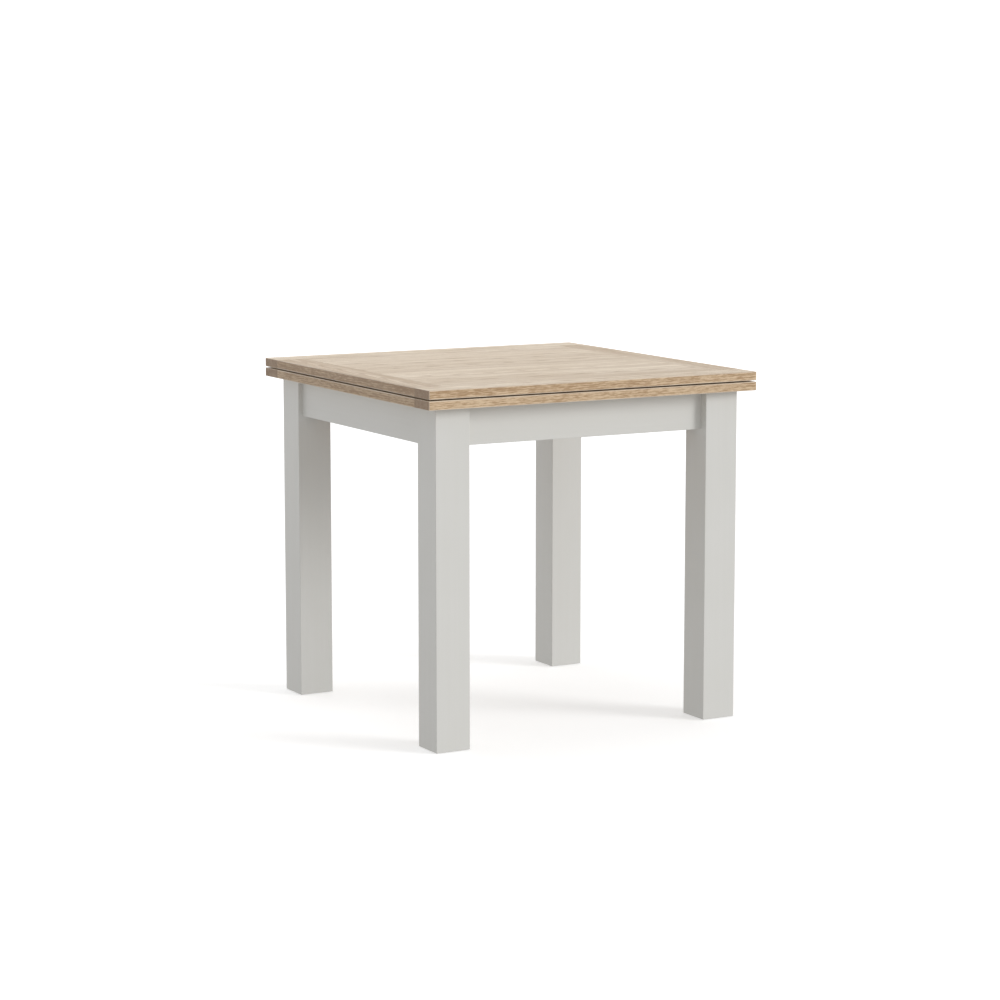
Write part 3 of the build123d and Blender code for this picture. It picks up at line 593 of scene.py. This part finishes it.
def threaded_bolt(start, end):
    """A hanger bolt: a machine thread for the nut, a plain shank, and a wood thread with a taper point.

    At a distance s along the bolt and an angle a round it, the radius is BOLT_RADIUS less the thread's
    depth times a triangle wave of s / pitch - a / 360 degrees. The depth is 0 along the shank. The radius
    is never more than the end chamfer or the point allows there.
    """
    length = np.linalg.norm(end - start)
    wood_from = length - WOOD_THREAD
    machine = np.linspace(0, MACHINE_THREAD, round(MACHINE_THREAD / MACHINE_PITCH * THREAD_STEPS) + 1)
    wood = np.linspace(wood_from, length, round(WOOD_THREAD / WOOD_PITCH * THREAD_STEPS) + 1)
    s = np.concatenate([machine, wood])[:, None]
    angle = np.linspace(0, 2 * math.pi, THREAD_SPOKES, endpoint=False)[None, :]
    pitch = np.where(s <= MACHINE_THREAD, MACHINE_PITCH, WOOD_PITCH)
    full = np.where(s <= MACHINE_THREAD, MACHINE_DEPTH, WOOD_DEPTH)
    inside = np.where(s <= MACHINE_THREAD, MACHINE_THREAD - s, s - wood_from)
    depth = full * np.clip(inside / pitch, 0, 1)
    wave = np.abs(2 * np.mod(s / pitch - angle / (2 * math.pi), 1) - 1)
    radius = BOLT_RADIUS - depth * wave
    radius = np.minimum(radius, BOLT_RADIUS - END_CHAMFER + s)
    radius = np.minimum(radius, POINT_RADIUS + (length - s) * POINT_SLOPE)
    way = (end - start) / length
    side = np.cross([0, 0, 1], way)
    up = np.cross(way, side)
    ring = np.cos(angle)[..., None] * side + np.sin(angle)[..., None] * up
    rings = start + s[..., None] * way + radius[..., None] * ring
    return closed_tube(rings, start, end)


def leg_bolts():
    """All eight leg bolts as one piece."""
    points = []
    faces = []
    for start, end in bolt_places():
        new_points, new_faces = threaded_bolt(start, end)
        first = sum(len(part) for part in points)
        points.append(new_points)
        faces += [[corner + first for corner in face] for face in new_faces]
    mesh = bpy.data.meshes.new("leg bolts")
    mesh.from_pydata(np.concatenate(points).tolist(), [], faces)
    mesh.shade_smooth()
    mesh.materials.append(zinc_finish)
    piece = bpy.data.objects.new("threaded_leg_bolts", mesh)
    bpy.context.scene.collection.objects.link(piece)
    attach(piece, "base")
    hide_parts("leg_bolts")


leg_bolts()


# ---------------------------------------------------------------- the studio
def cove_white():
    """Matt white that glows by itself, more so far from the table, and that can't be seen from behind."""
    finish = Finish("white cove")
    point = finish.place(1, 1, 1)
    distance = finish.node("ShaderNodeVectorMath", {"operation": "LENGTH"}, {0: point}, "Value")
    glow = distance.clear(GLOW_NEAR, GLOW_FAR) * (WALL_GLOW - FLOOR_GLOW) + FLOOR_GLOW
    skin = {
        "Base Color": (0.9, 0.9, 0.9, 1.0),
        "Roughness": 0.9,
        "Emission Color": finish.join(glow, glow, glow),
        "Emission Strength": 1.0,
    }
    white = finish.node("ShaderNodeBsdfPrincipled", {}, skin)
    nothing = finish.node("ShaderNodeBsdfTransparent", {}, {})
    behind = finish.node("ShaderNodeNewGeometry", {}, {}, "Backfacing")
    either = finish.node("ShaderNodeMixShader", {}, {0: behind, 1: white, 2: nothing})
    finish.node("ShaderNodeOutputMaterial", {}, {"Surface": either})
    return finish.material


def cove():
    """A white floor that curves up into a wall all round. It is clear from behind and from below.

    A profile turned about Z: straight out to COVE_RADIUS - COVE_ROUND, a quarter circle of COVE_ROUND,
    then straight up to COVE_HEIGHT. One parameter runs along the profile and the other round the axis.
    """
    run = np.linspace(0, 1, COVE_RINGS)
    wall_from = FLOOR_SHARE + ROUND_SHARE
    flat = np.clip(run / FLOOR_SHARE, 0, 1) * (COVE_RADIUS - COVE_ROUND)
    bend = np.clip((run - FLOOR_SHARE) / ROUND_SHARE, 0, 1) * math.pi / 2
    rise = np.clip((run - wall_from) / (1 - wall_from), 0, 1) * (COVE_HEIGHT - COVE_ROUND)
    reach = flat + COVE_ROUND * np.sin(bend)
    height = COVE_ROUND * (1 - np.cos(bend)) + rise
    turn = np.linspace(0, 2 * math.pi, COVE_SPOKES, endpoint=False)
    x = np.outer(reach, np.cos(turn))
    y = np.outer(reach, np.sin(turn))
    z = np.outer(height, np.ones_like(turn))
    points = np.stack([x, y, z], axis=-1).reshape(-1, 3)
    ring, spoke = np.meshgrid(np.arange(COVE_RINGS - 1), np.arange(COVE_SPOKES), indexing="ij")
    after = (spoke + 1) % COVE_SPOKES
    corners = [ring * COVE_SPOKES + spoke, (ring + 1) * COVE_SPOKES + spoke]
    corners += [(ring + 1) * COVE_SPOKES + after, ring * COVE_SPOKES + after]
    faces = np.stack(corners, axis=-1).reshape(-1, 4)
    mesh = bpy.data.meshes.new("studio cove")
    mesh.from_pydata(points.tolist(), [], faces.tolist())
    mesh.shade_smooth()
    stage = bpy.data.objects.new("studio_cove", mesh)
    bpy.context.scene.collection.objects.link(stage)
    mesh.materials.append(cove_white())
    stage.visible_diffuse = False
    stage.visible_shadow = False


def place_light(name, kind, place, **values):
    """A light of that kind, aimed at the middle of the table. The camera doesn't see it."""
    light = bpy.data.lights.new(name, kind)
    for key, value in values.items():
        setattr(light, key, value)
    made = bpy.data.objects.new(name, light)
    bpy.context.scene.collection.objects.link(made)
    made.location = place
    aim = Vector(TABLE_MIDDLE) - Vector(place)
    made.rotation_euler = aim.to_track_quat("-Z", "Y").to_euler()
    made.visible_camera = False
    return made


def studio():
    """The cove, an even sky, two lights and the camera."""
    cove()
    world = bpy.data.worlds.new("studio sky")
    bpy.context.scene.world = world
    world.use_nodes = True
    sky = world.node_tree.nodes["Background"]
    sky.inputs["Color"].default_value = (1.0, 1.0, 1.0, 1.0)
    sky.inputs["Strength"].default_value = SKY_LIGHT
    key = place_light("key light", "SUN", KEY_PLACE, energy=KEY_STRENGTH, angle=math.radians(KEY_ANGLE))
    key.visible_glossy = False  # its glare would hide the grain of the top from behind
    place_light("overhead soft box", "AREA", OVERHEAD_PLACE, energy=OVERHEAD_STRENGTH, size=OVERHEAD_SIZE)
    view = bpy.data.cameras.new("camera")
    view.lens = CAMERA_LENS
    camera = bpy.data.objects.new("camera", view)
    bpy.context.scene.collection.objects.link(camera)
    turn = Matrix.Rotation(math.radians(CAMERA_YAW), 4, "Z")
    tilt = Matrix.Rotation(math.radians(90 + CAMERA_PITCH), 4, "X")
    camera.matrix_world = Matrix.Translation(CAMERA_PLACE) @ turn @ tilt
    bpy.context.scene.camera = camera
    bpy.context.scene.view_settings.view_transform = "Standard"


studio()
